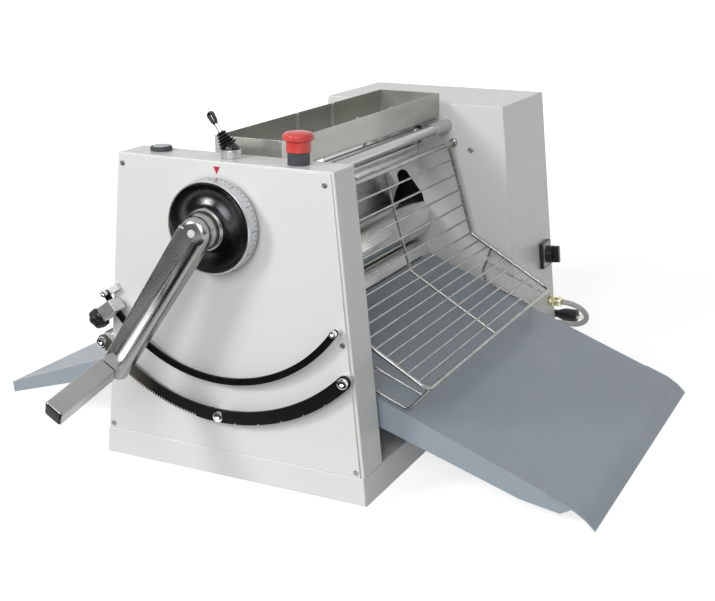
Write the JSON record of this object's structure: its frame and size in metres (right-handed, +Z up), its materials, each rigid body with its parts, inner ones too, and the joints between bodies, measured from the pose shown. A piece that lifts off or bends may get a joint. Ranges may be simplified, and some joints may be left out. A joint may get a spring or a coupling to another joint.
{
  "type": "dough sheeter",
  "caption": "Bench dough sheeter: two sloping housings on a plinth, chromed rollers, crank-set gap with dial, wire guards, flour bin and sloping chutes.",
  "frame": {"origin": "centre of the plinth's underside, on the bench", "axes": "+Z up; +X along the dough's travel, towards the longer chute; -Y towards the operator's side with the crank and dial"},
  "size_m": [0.953, 1.2153, 0.5038],
  "materials": {
    "housing_paint": "semi-gloss off-white powder coat",
    "chute_paint": "satin blue-grey coat",
    "stainless": "brushed",
    "chrome": "polished",
    "roller_chrome": "ground and hard chromed",
    "polished_aluminium": "polished casting",
    "black_steel": "black oxide",
    "machined_steel": "machined",
    "zinc": "zinc plated",
    "black_plastic": "matt",
    "dark_grey_plastic": "satin",
    "pale_plastic": "satin",
    "red_plastic": "semi-gloss",
    "brass": "nickel-tinged brass",
    "cable_sheath": "matt",
    "plug_rubber": "matt",
    "motor_aluminium": "cast, painted grey"
  },
  "bodies": {
    "frame": {"base_plate": "machined_steel", "base_tray": "housing_paint", "front_column": "housing_paint", "front_cover": "housing_paint", "rear_housing": "housing_paint", "rear_cover": "housing_paint", "tie_bar_right": "stainless", "tie_bar_left": "stainless", "guard_header": "stainless", "toothed_sector": "black_steel", "sector_bolt_left": "chrome", "sector_bolt_centre": "chrome", "sector_bolt_right": "chrome", "stop_rail": "black_steel", "rail_bolt_left": "chrome", "rail_bolt_right": "chrome", "joystick_collar": "chrome", "stop_button_collar": "dark_grey_plastic", "start_bezel": "black_plastic", "switch_plate": "dark_grey_plastic", "cable_gland": "brass", "power_cable": "cable_sheath", "cable_coil": "cable_sheath", "cable_tail": "cable_sheath", "mains_plug": "plug_rubber", "lower_bearing_front": "machined_steel", "lower_bearing_rear": "machined_steel", "lower_scraper_right": "stainless", "lower_scraper_left": "stainless", "gear_motor": "motor_aluminium", "drive_chain": "black_steel", "upper_chain": "black_steel", "chute_right": "chute_paint", "chute_left": "chute_paint"},
    "crank": {"crank_shaft": "machined_steel", "dial_drum": "stainless", "crank_arm": "polished_aluminium", "crank_grip": "polished_aluminium", "lift_cam_front": "machined_steel", "lift_cam_rear": "machined_steel"},
    "carriage": {"roller_hanger_front": "machined_steel", "roller_hanger_rear": "machined_steel", "upper_scraper": "stainless"},
    "top_roller": {"upper_roller": "roller_chrome", "upper_sprocket": "machined_steel"},
    "bottom_roller": {"lower_roller": "roller_chrome", "lower_gear": "machined_steel"},
    "countershaft": {"counter_gear": "machined_steel"},
    "motor_output": {"motor_sprocket": "machined_steel"},
    "right_guard": {"guard_right": "stainless"},
    "left_guard": {"guard_left": "stainless"},
    "bin": {"flour_bin": "stainless"},
    "joystick": {"joystick_boot": "black_plastic", "joystick_stick": "chrome", "joystick_grip": "black_plastic"},
    "emergency_button": {"stop_button_head": "red_plastic"},
    "start_cap": {"start_button": "pale_plastic"},
    "switch": {"switch_knob": "black_plastic"},
    "end_stop": {"stop_block": "zinc"},
    "end_stop_knob": {"stop_knob": "black_plastic"}
  },
  "joints": [
    {"name": "crank_swing", "type": "hinge", "parent": "frame", "child": "crank", "pos_m": [-0.006, -0.4215, 0.366], "axis": [0, -1, 0], "range_deg": [-7, 75]},
    {"name": "carriage_lift", "type": "slide", "parent": "frame", "child": "carriage", "axis": [0, 0, 1], "range_m": [-0.0025, 0.0263], "deforming": ["upper_chain"]},
    {"name": "lower_roller_spin", "type": "hinge", "parent": "frame", "child": "bottom_roller", "pos_m": [0.006, 0, 0.1723], "axis": [0, 1, 0], "continuous": true},
    {"name": "upper_roller_spin", "type": "hinge", "parent": "carriage", "child": "top_roller", "pos_m": [0.006, 0, 0.245], "axis": [0, 1, 0], "continuous": true},
    {"name": "countershaft_spin", "type": "hinge", "parent": "frame", "child": "countershaft", "pos_m": [0.006, 0.25, 0.1003], "axis": [0, 1, 0], "continuous": true},
    {"name": "motor_spin", "type": "hinge", "parent": "frame", "child": "motor_output", "pos_m": [0.105, 0.272, 0.1], "axis": [0, 1, 0], "continuous": true},
    {"name": "guard_right_swing", "type": "hinge", "parent": "frame", "child": "right_guard", "pos_m": [0.078, 0, 0.384], "axis": [0, -1, 0], "range_deg": [0, 75]},
    {"name": "guard_left_swing", "type": "hinge", "parent": "frame", "child": "left_guard", "pos_m": [-0.078, 0, 0.384], "axis": [0, 1, 0], "range_deg": [0, 75]},
    {"name": "bin_lift", "type": "slide", "parent": "frame", "child": "bin", "axis": [0, 0, 1], "range_m": [0, 0.06]},
    {"name": "joystick_tilt", "type": "hinge", "parent": "frame", "child": "joystick", "pos_m": [-0.003, -0.3885, 0.4593], "axis": [0, 1, 0], "range_deg": [0, 68]},
    {"name": "emergency_press", "type": "slide", "parent": "frame", "child": "emergency_button", "axis": [0, 0, -1], "range_m": [0, 0.004]},
    {"name": "start_press", "type": "slide", "parent": "frame", "child": "start_cap", "axis": [0, 0, -1], "range_m": [0, 0.003], "stiffness_N_per_m": 300, "springref_m": -0.001},
    {"name": "switch_turn", "type": "hinge", "parent": "frame", "child": "switch", "pos_m": [0.20306, 0.3735, 0.15879], "axis": [0.9946, 0, 0.1039], "range_deg": [0, 90]},
    {"name": "end_stop_slide", "type": "hinge", "parent": "frame", "child": "end_stop", "pos_m": [-0.006, -0.4215, 0.366], "axis": [0, -1, 0], "range_deg": [0, 100]},
    {"name": "end_stop_clamp", "type": "hinge", "parent": "end_stop", "child": "end_stop_knob", "pos_m": [-0.18541, -0.441, 0.22329], "axis": [-0.7826, 0, -0.6225], "range_deg": [0, 180]}
  ],
  "couplings": [
    {"joint": "carriage_lift", "follows": "crank_swing", "m_per_rad": 0.02},
    {"joint": "upper_roller_spin", "follows": "lower_roller_spin", "ratio": -1},
    {"joint": "countershaft_spin", "follows": "lower_roller_spin", "ratio": -1},
    {"joint": "motor_spin", "follows": "lower_roller_spin", "ratio": 1}
  ]
}
